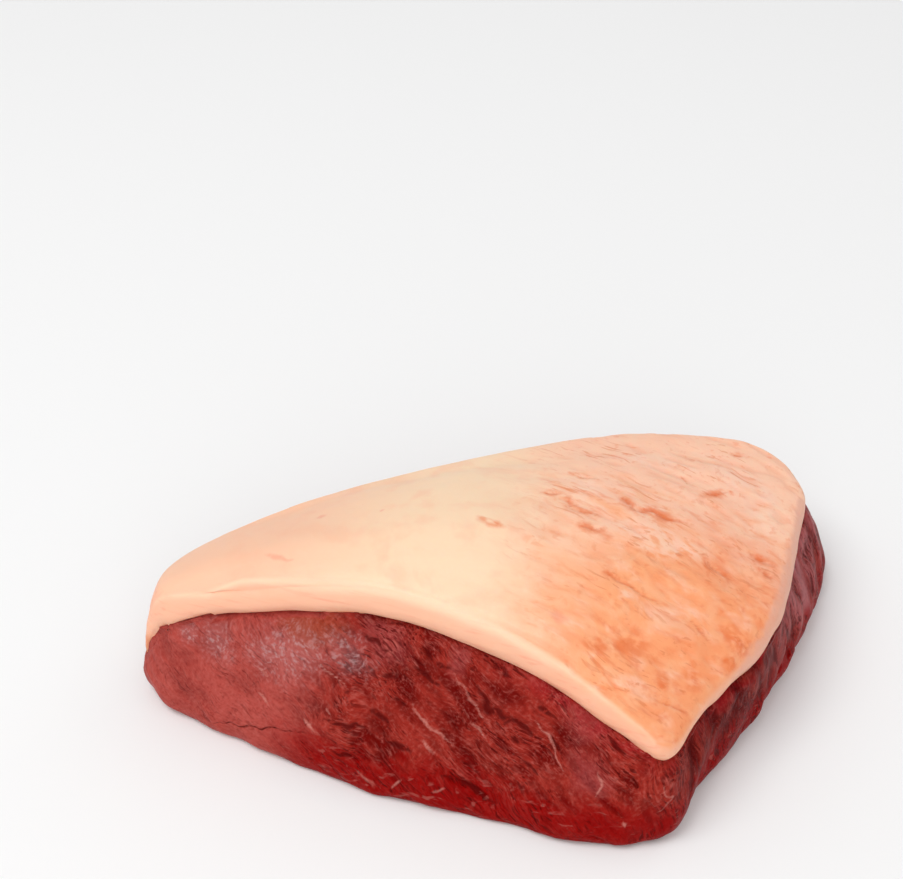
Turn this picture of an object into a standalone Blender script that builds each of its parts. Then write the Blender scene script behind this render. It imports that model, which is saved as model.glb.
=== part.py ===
"""Raw picanha: a triangular rump cap of beef, lying on its lean side with the fat cap up.

Two solids: the lean muscle, and the fat cap that covers it like a lid. They meet along a
seam that runs all the way round the cut, with a hair's gap between them.

Frame: metres, +Z up, origin under the middle of the cut on the surface that it lies on.
+X runs from the narrow tip to the wide end, and -Y is the long front side.
"""

import math

import bmesh
import bpy
from mathutils import Vector, noise

MM = 0.001

# ---- Driving dimensions --------------------------------------------------------------

# Stations round the cut, counterclockwise from above, in millimetres: the lean's widest
# outline in plan, the seam under the fat, the fat's thickness there, and how many
# segments the mesh takes to the next station.
STATIONS = (
    # place               outline x, y    seam x, y, z        fat   segments
    ("front, first", (-80, -85), (-81, -61, 44), 9.5, 15),
    ("front, belly", (-29, -94), (-26, -57, 54), 11.0, 13),
    ("front, third", (26, -95), (25, -61, 48), 11.0, 9),
    ("front, last", (60, -93), (57, -70, 40), 10.0, 7),
    ("near corner", (85, -81), (77, -73, 33.5), 9.0, 9),
    ("end, first", (92, -49), (86, -48, 34.5), 9.5, 12),
    ("end, middle", (107, -5), (103, -9, 37.5), 10.5, 14),
    ("end, last", (119, 53), (104, 42, 37.5), 10.0, 7),
    ("far corner", (117, 81), (102, 69, 37.5), 8.5, 6),
    ("back corner", (88, 93), (80, 86, 40), 9.0, 13),
    ("back, first", (36, 78), (30, 70, 45), 9.5, 17),
    ("back, middle", (-25, 38), (-25, 29.5, 48), 11.0, 14),
    ("back, last", (-76, 0), (-76, -8, 45), 10.5, 16),
    ("tip, back corner", (-113, -35), (-111, -37, 36), 10.0, 10),
    ("tip", (-120, -59), (-115, -57, 27), 19.0, 8),
    ("tip, front corner", (-109, -77), (-106, -64, 33), 13.0, 14),
)

# The fat's top is a patch with four sides. The front side starts at the first station and
# the others at these. Opposite sides have the same number of segments: front and back,
# end and tip.
END_SIDE, BACK_SIDE, TIP_SIDE = 4, 9, 12

DOME_RISE = 0.0150  # how far the middle of the fat's top stands over its four sides
SHOULDER_DROP = 0.13  # how steeply the fat's edge runs into the dome, as a share of the fat

BED_CROWN = Vector((0.001, -0.003, 0.058))  # highest point of the lean, under the fat
SEAM_GAP = 0.0003  # between the lean and the fat

REST_INSET = 0.008  # the flat underside's edge, in from the widest outline
FOOT_REACH = 0.003  # how far past the outline the foot's round is pulled
WALL_BULGE = 0.003  # how far the wall swells between foot and seam
WALL_PULL_IN = 0.45  # share of the way from seam to outline where the wall starts to turn
WALL_PULL_UP = 0.62  # the same, as a share of the seam's height

FAT_LIP = 0.0015  # the fat's edge stands this far proud of the lean
LIP_RISE = 0.1  # how soon the lip turns up, as a share of the fat
RIM_INSET = 0.0020  # the fat's top edge, in from the seam

# The seam's own line: long waves all round, and short notches on the wide end.
SEAM_WAVE = (0.020, 0.0012)
END_SEAM_NOTCH = (0.0100, 0.0014)
WALL_SLOPE = 0.4  # how far out the wall runs for each step down
DETAIL_FADE = 10  # the seam's own line dies out this fast towards the middle

# A nub of fat and sinew that hangs over the lean at the tip.
NUB_STATION = 14.4
NUB_HALF_WIDTH = 0.22  # in stations
NUB_DROP = 0.013

# The cut face of the wide end lies outside the line through these two points in plan.
END_LINE = (Vector((0.080, -0.087, 0.0)), Vector((0.123, 0.086, 0.0)))
END_BLEND = (-0.019, -0.009)  # distances from the line where it starts and is whole

# Relief on the smooth form: length along the grain, width across it, and height.
FRONT_GRAIN = Vector((0.87, -0.26, -0.42)).normalized()  # down towards the near corner
END_GRAIN = Vector((0.20, 0.77, 0.60)).normalized()  # up towards the far corner
FRONT_BUNDLE = (0.034, 0.0110, 0.0017)
END_BUNDLE = (0.028, 0.0105, 0.0024)
BUNDLE_WANDER = 0.6  # how far a bundle strays sideways, in widths
SLACK_LUMP = (0.042, 0.0022)
FAT_SWELL = (0.036, 0.0016)
FAT_WRINKLE = (0.032, 0.0100, 0.0013)
WRINKLES_START = (-0.03, 0.05)  # from the smooth half to the wrinkled half, along x

# Where the relief starts and is whole: up from the foot, down from the seam, and in from
# the fat's rim.
FOOT_FADE = (0.0, 0.22)
SEAM_FADE = (1.0, 0.93)
RIM_FADE = (0.0, 0.35)

WALL_ROWS = 14
BED_ROWS = 2
FAT_EDGE_ROWS = 3

# Steps for measuring a surface's direction, in stations and in shares of the wall.
OUTLINE_STEP = 0.05
WALL_STEP = 0.02
WELD = 1e-7  # points closer than this are one

# Colours, roughness: the lean is a dark red, the fat a warm cream.
LEAN_COLOUR = (0.30, 0.025, 0.016, 1.0)
FAT_COLOUR = (0.93, 0.56, 0.33, 1.0)
LEAN_ROUGHNESS = 0.42
FAT_ROUGHNESS = 0.48


# ---- Curves round the cut ------------------------------------------------------------


def smoothstep(low, high, value):
    share = min(1.0, max(0.0, (value - low) / (high - low)))
    return share * share * (3 - 2 * share)


def round_the_cut(points, station):
    """A smooth closed curve through the points, one at each whole station."""
    first = math.floor(station)
    share = station - first
    before, start, end, after = (points[(first + k) % len(points)] for k in (-1, 0, 1, 2))
    slope_in = (end - before) * 0.5
    slope_out = (after - start) * 0.5
    cube = start * 2 - end * 2 + slope_in + slope_out
    square = end * 3 - start * 3 - slope_in * 2 - slope_out
    return ((cube * share + square) * share + slope_in) * share + start


OUTLINE = [Vector((*outline, 0.0)) * MM for _, outline, _, _, _ in STATIONS]
SEAM = [Vector(seam) * MM for _, _, seam, _, _ in STATIONS]
FAT = [thickness * MM for _, _, _, thickness, _ in STATIONS]
SEGMENTS = [segments for _, _, _, _, segments in STATIONS]

# The station at each segment's start, all the way round.
MARKS = [i + k / count for i, count in enumerate(SEGMENTS) for k in range(count)]


def outward(station):
    """The outline's outward direction in plan."""
    before = round_the_cut(OUTLINE, station - OUTLINE_STEP)
    after = round_the_cut(OUTLINE, station + OUTLINE_STEP)
    return Vector((after.y - before.y, before.x - after.x, 0.0)).normalized()


def on_the_wide_end(point):
    """1 on the cut face of the wide end, 0 elsewhere, with a short blend between."""
    near, far = END_LINE
    across = Vector((far.y - near.y, near.x - far.x, 0.0)).normalized()
    return smoothstep(*END_BLEND, (point - near).dot(across))


def seam_detail(station):
    """What the waves, the notches and the nub add to the seam: a slide along the wall."""
    point = round_the_cut(SEAM, station)
    wave_length, wave_height = SEAM_WAVE
    notch_length, notch_depth = END_SEAM_NOTCH
    rise = wave_height * noise.noise(point / wave_length)
    rise += notch_depth * noise.noise(point / notch_length) * on_the_wide_end(point)
    from_nub = (station - NUB_STATION) / NUB_HALF_WIDTH
    rise -= NUB_DROP * math.exp(-(from_nub**2))
    return Vector((0.0, 0.0, rise)) - outward(station) * rise * WALL_SLOPE


def seam_at(station):
    """The line where fat meets lean."""
    return round_the_cut(SEAM, station) + seam_detail(station)


# ---- Surfaces round the cut: each takes a station and a share of the way up or in ------


def bezier(points, share):
    """A cubic through its first and last point, pulled towards the two between."""
    rest = 1 - share
    weights = (rest**3, 3 * rest**2 * share, 3 * rest * share**2, share**3)
    return sum((point * weight for point, weight in zip(points, weights)), Vector())


def lean_wall(station, share):
    """From the edge of the flat underside, round the foot and up to the seam."""
    outline, seam, out = round_the_cut(OUTLINE, station), seam_at(station), outward(station)
    turn = seam.lerp(Vector((outline.x, outline.y, seam.z)), WALL_PULL_IN) + out * WALL_BULGE
    turn.z = seam.z * WALL_PULL_UP
    foot = outline - out * REST_INSET
    return bezier((foot, outline + out * FOOT_REACH, turn, seam), share)


def lean_bed(station, share):
    """The lean's top, which the fat covers: steep at the seam, level in the middle."""
    rim = round_the_cut(SEAM, station)
    point = rim.lerp(BED_CROWN, share)
    point.z = BED_CROWN.z + (rim.z - BED_CROWN.z) * (1 - share) ** 2
    return point + seam_detail(station) * (1 - share) ** DETAIL_FADE


def fat_underside(station, share):
    """The bed's own shape, a hair's gap above it."""
    return lean_bed(station, share) + Vector((0.0, 0.0, SEAM_GAP))


def fat_rim(station):
    """The fat's top edge, where the dome starts. It keeps clear of the seam's detail."""
    rise = Vector((0.0, 0.0, round_the_cut(FAT, station)))
    return round_the_cut(SEAM, station) - outward(station) * RIM_INSET + rise


def fat_edge(station, share):
    """The fat's trimmed edge: out over the lean, up, and round to the rim."""
    out = outward(station)
    thickness = round_the_cut(FAT, station)
    start, top = fat_underside(station, 0), fat_rim(station)
    lip = start + out * FAT_LIP * 2 + Vector((0.0, 0.0, thickness * LIP_RISE))
    shoulder = top + out * (RIM_INSET + FAT_LIP)
    shoulder.z -= thickness * SHOULDER_DROP
    return bezier((start, lip, shoulder, top), share)


# ---- Relief --------------------------------------------------------------------------


def bundles(point, grain, sizes):
    """Soft ridges that run along the grain and wander a little."""
    length, width, height = sizes
    along = point.dot(grain)
    rest = point - grain * along
    bend = noise.noise(point / length) * BUNDLE_WANDER
    return height * noise.noise(rest / width + grain * (along / length) + grain.yzx * bend)


def lean_relief(share, point):
    """Bundles of muscle, coarser on the wide end, on slack lumps. It fades at both edges."""
    end = on_the_wide_end(point)
    relief = bundles(point, FRONT_GRAIN, FRONT_BUNDLE) * (1 - end)
    relief += bundles(point, END_GRAIN, END_BUNDLE) * end
    lump_length, lump_height = SLACK_LUMP
    relief += lump_height * noise.noise(point / lump_length)
    return relief * smoothstep(*FOOT_FADE, share) * smoothstep(*SEAM_FADE, share)


def fat_relief(point):
    """Soft swells, with wrinkles along the cut on its thick half."""
    length, width, height = FAT_WRINKLE
    swell_length, swell_height = FAT_SWELL
    stretched = Vector((point.x / length, point.y / width, point.z / width))
    wrinkles = height * noise.noise(stretched) * smoothstep(*WRINKLES_START, point.x)
    return swell_height * noise.noise(point / swell_length) + wrinkles


def rough_wall(station, share):
    """The wall, moved along its normal by the relief there."""
    point = lean_wall(station, share)
    low, high = max(0.0, share - WALL_STEP), min(1.0, share + WALL_STEP)
    around = lean_wall(station + WALL_STEP, share) - lean_wall(station - WALL_STEP, share)
    upward = lean_wall(station, high) - lean_wall(station, low)
    return point + around.cross(upward).normalized() * lean_relief(share, point)


# ---- Meshes --------------------------------------------------------------------------


def bend_round(bm, rows, surface):
    """Adds a flat grid and bends it round the cut, over the surface."""
    around = len(MARKS)
    made = bmesh.ops.create_grid(bm, x_segments=around, y_segments=rows, size=0.5)
    for vert in made["verts"]:
        column = round((vert.co.x + 0.5) * around) % around
        share = round((vert.co.y + 0.5) * rows) / rows
        vert.co = surface(MARKS[column], share)


def stretch_over_rim(bm):
    """Adds a flat grid and stretches it between the four sides of the rim, as a dome.

    Each point is the mean of a straight run from front to back and one from tip to end,
    less the flat four-cornered sheet that both runs hold, so it meets all four sides.
    """
    rim = [fat_rim(mark) for mark in MARKS]
    end, back, tip = (sum(SEGMENTS[:side]) for side in (END_SIDE, BACK_SIDE, TIP_SIDE))
    long, wide = end, back - end
    corners = rim[0], rim[end], rim[back], rim[tip]
    made = bmesh.ops.create_grid(bm, x_segments=long, y_segments=wide, size=0.5)
    for vert in made["verts"]:
        i = round((vert.co.x + 0.5) * long)
        j = round((vert.co.y + 0.5) * wide)
        u, v = i / long, j / wide
        across = rim[i].lerp(rim[tip - i], v)
        along = rim[-j].lerp(rim[end + j], u)
        sheet = corners[0].lerp(corners[1], u).lerp(corners[3].lerp(corners[2], u), v)
        point = across + along - sheet
        inside = 16 * u * (1 - u) * v * (1 - v)  # 0 on the sides, 1 in the middle
        point.z += DOME_RISE * inside + fat_relief(point) * smoothstep(*RIM_FADE, inside)
        vert.co = point


def food_material(name, colour, roughness):
    material = bpy.data.materials.new(name)
    material.use_nodes = True
    shader = material.node_tree.nodes["Principled BSDF"]
    shader.inputs["Base Color"].default_value = colour
    shader.inputs["Roughness"].default_value = roughness
    shader.inputs["Metallic"].default_value = 0.0
    return material


def closed_solid(name, bm, colour, roughness):
    """Welds the grids into one closed skin, and makes it an object with its material."""
    bmesh.ops.remove_doubles(bm, verts=bm.verts, dist=WELD)
    open_edges = [edge for edge in bm.edges if edge.is_boundary]
    bmesh.ops.holes_fill(bm, edges=open_edges)
    bmesh.ops.recalc_face_normals(bm, faces=bm.faces)
    mesh = bpy.data.meshes.new(name)
    bm.to_mesh(mesh)
    bm.free()
    mesh.shade_smooth()
    mesh.materials.append(food_material(name, colour, roughness))
    solid = bpy.data.objects.new(name, mesh)
    bpy.context.scene.collection.objects.link(solid)


def make_lean():
    """The muscle: a flat underside, the walls, and the bed under the fat."""
    bm = bmesh.new()
    bend_round(bm, WALL_ROWS, rough_wall)
    bend_round(bm, BED_ROWS, lean_bed)
    closed_solid("lean", bm, LEAN_COLOUR, LEAN_ROUGHNESS)


def make_fat_cap():
    """The fat: its trimmed edge, its domed top, and an underside that matches the bed."""
    bm = bmesh.new()
    bend_round(bm, FAT_EDGE_ROWS, fat_edge)
    stretch_over_rim(bm)
    bend_round(bm, BED_ROWS, fat_underside)
    closed_solid("fat_cap", bm, FAT_COLOUR, FAT_ROUGHNESS)


def main():
    for old in list(bpy.data.objects):
        bpy.data.objects.remove(old)
    make_lean()
    make_fat_cap()


main()
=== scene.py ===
# %% [markdown]
# # A raw picanha
# This lesson dresses a raw rump cap of beef that lies on its lean side with the fat up.
# The solids of the two pieces are ready, at their real size: the lean muscle and the fat
# cap. They are the fixed frame of the scene. They have the true form, but their faces are
# 4 mm wide and each has one flat colour. Here each one gets a fine skin with the small
# relief of real meat, and a painted surface.

import math
from types import SimpleNamespace

import bmesh
import bpy
import numpy as np
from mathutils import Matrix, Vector, noise
from mathutils.bvhtree import BVHTree


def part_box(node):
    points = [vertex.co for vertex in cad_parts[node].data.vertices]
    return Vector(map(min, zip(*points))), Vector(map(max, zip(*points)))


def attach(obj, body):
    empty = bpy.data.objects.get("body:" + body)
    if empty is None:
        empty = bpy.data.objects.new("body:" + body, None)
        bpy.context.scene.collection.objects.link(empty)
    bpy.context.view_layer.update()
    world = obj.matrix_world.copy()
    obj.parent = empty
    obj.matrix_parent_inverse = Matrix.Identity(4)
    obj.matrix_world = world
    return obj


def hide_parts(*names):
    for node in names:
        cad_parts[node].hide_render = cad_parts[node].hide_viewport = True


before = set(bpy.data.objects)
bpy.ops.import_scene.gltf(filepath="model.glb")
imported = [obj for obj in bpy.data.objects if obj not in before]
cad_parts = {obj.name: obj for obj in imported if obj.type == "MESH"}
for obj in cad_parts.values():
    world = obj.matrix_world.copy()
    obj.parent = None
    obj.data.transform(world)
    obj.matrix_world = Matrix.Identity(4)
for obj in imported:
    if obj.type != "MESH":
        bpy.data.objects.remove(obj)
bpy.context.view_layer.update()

# %% [markdown]
# ## Camera
# The photo was taken from above the long front side, a little to the right. A camera can
# be aimed by hand until the picture fits, but it is surer to state what is known: how
# steeply it looks down, how far it stands to the side, how long its lens is in pixels,
# and which pixel shows the middle of the footprint. The rest follows from those.

# %% Camera
PHOTO_WIDTH = 903
PHOTO_HEIGHT = 879
LOOK_DOWN = math.radians(38)
TURNED = math.radians(17)
FOCAL_PIXELS = 1605.3
MM_PER_PIXEL = 0.3906  # at the footprint
FOOTPRINT = Vector((-0.003, -0.005, 0.0))
FOOTPRINT_PIXEL = (488, 640)
SENSOR = 36.0

ahead = Vector((
    -math.sin(TURNED) * math.cos(LOOK_DOWN),
    math.cos(TURNED) * math.cos(LOOK_DOWN),
    -math.sin(LOOK_DOWN),
))
right = Vector((math.cos(TURNED), math.sin(TURNED), 0.0))
up = right.cross(ahead)

ray = ahead * FOCAL_PIXELS
ray += right * (FOOTPRINT_PIXEL[0] - PHOTO_WIDTH / 2)
ray -= up * (FOOTPRINT_PIXEL[1] - PHOTO_HEIGHT / 2)
distance = MM_PER_PIXEL * FOCAL_PIXELS / 1000

lens = bpy.data.cameras.new("camera")
lens.sensor_width = SENSOR
lens.lens = FOCAL_PIXELS * SENSOR / PHOTO_WIDTH
camera = bpy.data.objects.new("camera", lens)
camera.location = FOOTPRINT - ray.normalized() * distance
camera.rotation_mode = "QUATERNION"
camera.rotation_quaternion = (-ahead).to_track_quat("Z", "Y")
bpy.context.scene.collection.objects.link(camera)
bpy.context.scene.camera = camera
print("camera at", [round(c, 3) for c in camera.location], "lens", round(lens.lens, 1))

# %% [markdown]
# ## Studio
# The photo has light with no hard edges: a big soft source from the upper left, a softer
# one in front, and white all round that fills the shadows. A weak lamp behind keeps the
# back from going dull when the cut is seen from there. The lamps are wide area lamps,
# because small ones would give hard shadows and pin-sharp glints on moist meat.

# %% Light
ROOM_LIGHT = 0.56
# place in metres, width in metres, power in watts
LAMPS = {
    "key": ((-0.80, -0.80, 2.40), 1.5, 30.0),
    "fill": ((0.60, -2.00, 1.10), 1.8, 12.0),
    "back": ((1.40, 1.60, 1.60), 1.8, 5.0),
}

for name, (place, width, power) in LAMPS.items():
    light = bpy.data.lights.new(name, "AREA")
    light.size = width
    light.energy = power
    lamp = bpy.data.objects.new(name, light)
    lamp.location = place
    lamp.rotation_mode = "QUATERNION"
    lamp.rotation_quaternion = Vector(place).to_track_quat("Z", "Y")
    bpy.context.scene.collection.objects.link(lamp)

world = bpy.data.worlds.new("white room")
world.use_nodes = True
room = world.node_tree.nodes["Background"]
room.inputs["Color"].default_value = (1.0, 1.0, 1.0, 1.0)
room.inputs["Strength"].default_value = ROOM_LIGHT
bpy.context.scene.world = world
bpy.context.scene.view_settings.view_transform = "Standard"
print("lamps:", ", ".join(LAMPS))

# %% [markdown]
# The ground is plain and white, so a very large pale plane does for it. It lies a hair
# lower than the cut, so that it and the flat underside do not share a plane.

# %% Floor
FLOOR_SIZE = 12.0
FLOOR_DROP = 0.0001
FLOOR_GREY = 0.92
FLOOR_ROUGHNESS = 0.8

bm = bmesh.new()
bmesh.ops.create_grid(bm, x_segments=1, y_segments=1, size=FLOOR_SIZE / 2)
bmesh.ops.translate(bm, verts=bm.verts, vec=(0.0, 0.0, -FLOOR_DROP))
floor_mesh = bpy.data.meshes.new("floor")
bm.to_mesh(floor_mesh)
bm.free()
floor = bpy.data.objects.new("floor", floor_mesh)
bpy.context.scene.collection.objects.link(floor)
floor_paint = bpy.data.materials.new("floor")
floor_paint.use_nodes = True
floor_shader = floor_paint.node_tree.nodes["Principled BSDF"]
floor_shader.inputs["Base Color"].default_value = (FLOOR_GREY, FLOOR_GREY, FLOOR_GREY, 1.0)
floor_shader.inputs["Roughness"].default_value = FLOOR_ROUGHNESS
floor_mesh.materials.append(floor_paint)
print("floor:", FLOOR_SIZE, "m wide")

# %% [markdown]
# ## Where is what
# Meat looks different on each side of this cut. The long front side is cut along the
# fibres, the wide end across them, and the underside is the muscle's own flat face.
# Soft masks say how much of each a point belongs to. They work on whole lists of points
# at once, which is far faster than one point at a time. Sizes are in millimetres.

# %% Masks
MM = 0.001
END_NEAR = np.array((80.0, -87.0))  # the cut face of the wide end, seen from above
END_FAR = np.array((123.0, 86.0))
END_BLEND = (-16.0, -6.0)  # from that line, where the cut end starts and is whole
FRONT_BLEND = (0.15, 0.45)  # of the direction that a face looks in
UNDER_BLEND = (0.6, 0.9)


def ease(low, high, values):
    """0 below low, 1 above high, and a smooth step between; low may be the higher one."""
    share = np.clip((values - low) / (high - low), 0.0, 1.0)
    return share * share * (3 - 2 * share)


end_run = (END_FAR - END_NEAR) / np.linalg.norm(END_FAR - END_NEAR)
end_out = np.array((end_run[1], -end_run[0]))
print("the wide end looks towards", end_out.round(2))


def on_end(points):
    return ease(*END_BLEND, (points[:, :2] - END_NEAR) @ end_out)


def on_front(normals):
    return ease(*FRONT_BLEND, -normals[:, 1])


# %% [markdown]
# ## A fine skin for each piece
# The solids are loose triangles, so a copy is merged first, and pairs of triangles are
# joined back into four-sided faces. A Subdivision Surface modifier then rounds them. The
# edge where a piece meets the other one is sharp on the real cut, because a knife made
# it, so edges that turn sharply are creased and stay where they are. A voxel remesh
# would give even faces, but it would blunt that edge.

# %% Smooth copies of the solids
MERGE = 1e-6
PAIR_ANGLE = 1.0  # radians that two joined triangles may turn
PAIR_SHAPE = 3.1
SHARP = math.radians(50)
SKIN_LEVELS = 2


def smooth_skin(node):
    """A fine, rounded copy of a solid, as a bmesh."""
    bm = bmesh.new()
    bm.from_mesh(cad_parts[node].data)
    bmesh.ops.remove_doubles(bm, verts=bm.verts, dist=MERGE)
    bmesh.ops.join_triangles(
        bm, faces=bm.faces, angle_face_threshold=PAIR_ANGLE, angle_shape_threshold=PAIR_SHAPE
    )
    crease = bm.edges.layers.float.new("crease_edge")
    for edge in bm.edges:
        edge[crease] = 1.0 if edge.calc_face_angle(0.0) > SHARP else 0.0
    cage_mesh = bpy.data.meshes.new("cage")
    bm.to_mesh(cage_mesh)
    bm.free()
    cage = bpy.data.objects.new("cage", cage_mesh)
    bpy.context.scene.collection.objects.link(cage)
    rounding = cage.modifiers.new("rounding", "SUBSURF")
    rounding.levels = rounding.render_levels = SKIN_LEVELS
    rounding.boundary_smooth = "PRESERVE_CORNERS"
    rounded = cage.evaluated_get(bpy.context.evaluated_depsgraph_get())
    bm = bmesh.new()
    bm.from_mesh(rounded.to_mesh())
    rounded.to_mesh_clear()
    bpy.data.objects.remove(cage)
    return bm


def places(bm):
    """Every point of a skin in millimetres, and the direction that it looks in."""
    bm.normal_update()
    points = np.array([vert.co[:] for vert in bm.verts]) / MM
    normals = np.array([vert.normal[:] for vert in bm.verts])
    return points, normals


lean_skin = smooth_skin("lean")
fat_skin = smooth_skin("fat_cap")
print("skins:", len(lean_skin.faces), "and", len(fat_skin.faces), "faces")

# %% [markdown]
# The long front shows the finest splits and veins, so only its faces are halved once
# more. One more level everywhere would make four times as many, where nobody looks.

# %% Finer faces on the front
FINE_FRONT = 0.5  # of the front's mask
FINE_UP = 0.8  # a point that looks up more than this lies under the fat

points, normals = places(lean_skin)
wanted = (on_front(normals) > FINE_FRONT) & (normals[:, 2] < FINE_UP)
chosen = [edge for edge in lean_skin.edges if all(wanted[vert.index] for vert in edge.verts)]
bmesh.ops.subdivide_edges(lean_skin, edges=chosen, cuts=1, use_grid_fill=True)
lean_skin.verts.index_update()
print("lean skin:", sum(len(face.verts) - 2 for face in lean_skin.faces), "triangles")

# %% [markdown]
# ## Relief of the lean
# Muscle is made of bundles of fibres. The bundles swell, and between them short dark
# splits open along the grain. Sculpting each by hand would take days; stretched noise
# does it by rule. The coordinates are squeezed along the grain, so each blob of the noise
# becomes a long lens: a low threshold gives a bundle, a high one leaves only the short
# splits. Blender's noise.noise always gives the same value at the same place, so every
# run makes the same meat.

# %% Noise along the grain
DRIFT_SIZE = 36.0  # over this length the grain bends
DRIFT = 7.0
PUSH_SEEDS = (0.0, 31.7, 64.9)  # along x, y and z


def noise_at(points, seed=0.0):
    """A smooth noise at each point. Another seed gives another pattern."""
    shift = Vector((seed, 0.0, 0.0))
    return np.array([noise.noise(Vector(point) + shift) for point in points.tolist()])


def drifted(points, size, reach):
    """The points, pushed aside a little by a slow noise, so that lines bend."""
    push = [noise_at(points / size, seed) for seed in PUSH_SEEDS]
    return points + np.stack(push, axis=1) * reach


def grain_noise(points, grain, length, width, seed):
    """A noise whose blobs are as long and as wide as stated."""
    along = np.outer(points @ grain, grain)
    return noise_at((points - along) / width + along / length, seed)


def unit(x, y, z):
    return np.array(Vector((x, y, z)).normalized())


# %% [markdown]
# The grain runs down and to the right on the front and on the back, and steeply down the
# wide end, where its bundles are coarser. Patches with many splits lie beside calm ones.

# %% Fibres
FRONT_GRAIN = unit(0.84, -0.28, -0.47)
BACK_GRAIN = unit(0.80, 0.38, -0.46)
END_GRAIN = unit(0.46, -0.06, -0.88)
END_COARSE = 1.35  # the end's fibres are this much coarser
FRONT_SEED, BACK_SEED, END_SEED = 3.7, 21.5, 11.2
SPLIT_SEED, PATCH_SEED = 9.1, 2.7  # added to those

# length and width in mm
BUNDLE = (17.0, 3.6)
SPLIT = (9.0, 2.1)
SPLIT_SHOWS = (0.16, 0.45)
PATCH_SIZE = 15.0
PATCH_SHOWS = (-0.20, 0.20)


def fibres(points, grain, coarse, seed):
    """Bundles from -1 to 1, and splits from 0 to 1."""
    points = points / coarse
    bundle = grain_noise(points, grain, *BUNDLE, seed)
    split = ease(*SPLIT_SHOWS, grain_noise(points, grain, *SPLIT, seed + SPLIT_SEED))
    patch = ease(*PATCH_SHOWS, noise_at(points / PATCH_SIZE, seed + PATCH_SEED))
    return bundle, split * patch


# %% [markdown]
# The photo also shows single splits that catch the eye. Each has its own place, drawn as
# a line through two or three points with a half width, in millimetres. The front and the
# back are drawn as seen from the front, in x and z, and the end as seen from the right,
# in y and z.

# %% Splits with their own places
FRONT_SPLITS = (
    (1.0, (-34, 48), (-27, 47), (-22, 46)),
    (1.5, (-23, 39), (-17, 40)),
    (1.1, (-12, 44), (-7, 42), (-2, 39)),
    (0.9, (-11, 49), (-2, 44)),
    (1.0, (-43, 23), (-34, 23), (-25, 24)),
    (0.4, (-85, 6), (-65, 12), (-44, 17)),
    (1.2, (-25, 29), (-21, 28), (-16, 26)),
    (1.2, (-18, 22), (-13, 21), (-8, 20)),
    (1.0, (-37, 14), (-27, 14)),
    (1.0, (-17, 33), (-13, 32)),
    (0.9, (13, 49), (22, 45)),
    (1.5, (11, 41), (16, 36), (24, 35)),
    (1.1, (22, 34), (27, 34), (32, 32)),
    (1.1, (25, 30), (28, 29)),
    (1.0, (32, 40), (39, 38)),
    (1.0, (30, 25), (36, 22)),
    (1.3, (4, 14), (11, 13), (23, 8)),
    (1.0, (-4, 46), (1, 44)),
    (1.2, (67, 27), (73, 24)),
    (1.2, (57, 37), (64, 33)),
    (1.0, (38, 33), (43, 30)),
)
END_SPLITS = (
    (2.2, (4, 32), (6, 15)),
    (2.2, (-9, 34), (-5, 18)),
    (2.3, (-34, 34), (-37, 24)),
    (2.2, (-44, 31), (-49, 22)),
    (2.6, (-58, 31), (-63, 22), (-68, 12)),
    (1.6, (43, 24), (39, 15)),
    (1.6, (14, 34), (13, 26)),
    (2.0, (-22, 30), (-18, 14)),
    (1.6, (24, 30), (28, 20)),
)
BACK_SPLITS = (
    (1.4, (66, 33), (52, 28), (43, 22)),
    (1.2, (84, 24), (76, 18)),
    (1.5, (24, 37), (12, 33), (4, 26)),
    (1.2, (28, 20), (18, 15)),
    (1.3, (-10, 30), (-20, 27), (-27, 21)),
    (1.1, (-2, 14), (-14, 11)),
    (1.4, (-44, 26), (-56, 20), (-63, 15)),
    (1.1, (-74, 17), (-82, 12)),
)
print("splits:", len(FRONT_SPLITS), "front,", len(END_SPLITS), "end,", len(BACK_SPLITS), "back")

# %% [markdown]
# A function measures how near each point of the skin is to the nearest line. It answers
# 1 on the line and 0 at the line's half width, and a line gets thinner at its ends.

# %% How near a point is to a line
THIN_ENDS = 0.45  # of the half width
FAR = 3.0


def nearness(spots, lines):
    """1 on the nearest line, 0 at its half width, and below 0 further away."""
    nearest = np.full(len(spots), FAR)
    for width, *corners in lines:
        corners = np.array(corners, float)
        runs = np.diff(corners, axis=0)
        lengths = np.linalg.norm(runs, axis=1)
        passed = 0.0
        for start, run, length in zip(corners, runs, lengths):
            share = np.clip((spots - start) @ run / length**2, 0.0, 1.0)
            off = np.linalg.norm(spots - start - np.outer(share, run), axis=1)
            from_middle = 2 * (passed + share * length) / lengths.sum() - 1
            nearest = np.minimum(nearest, off / width + THIN_ENDS * from_middle**2)
            passed += length
    return 1 - nearest


# %% [markdown]
# Veins of fat, the silvery membrane and stains are paint, but they have their own places
# too. They are drawn in the same way, and how near each point is to them is stored on
# the skin. A distance is smooth, so the paint can make a fine line of it between points.

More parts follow.
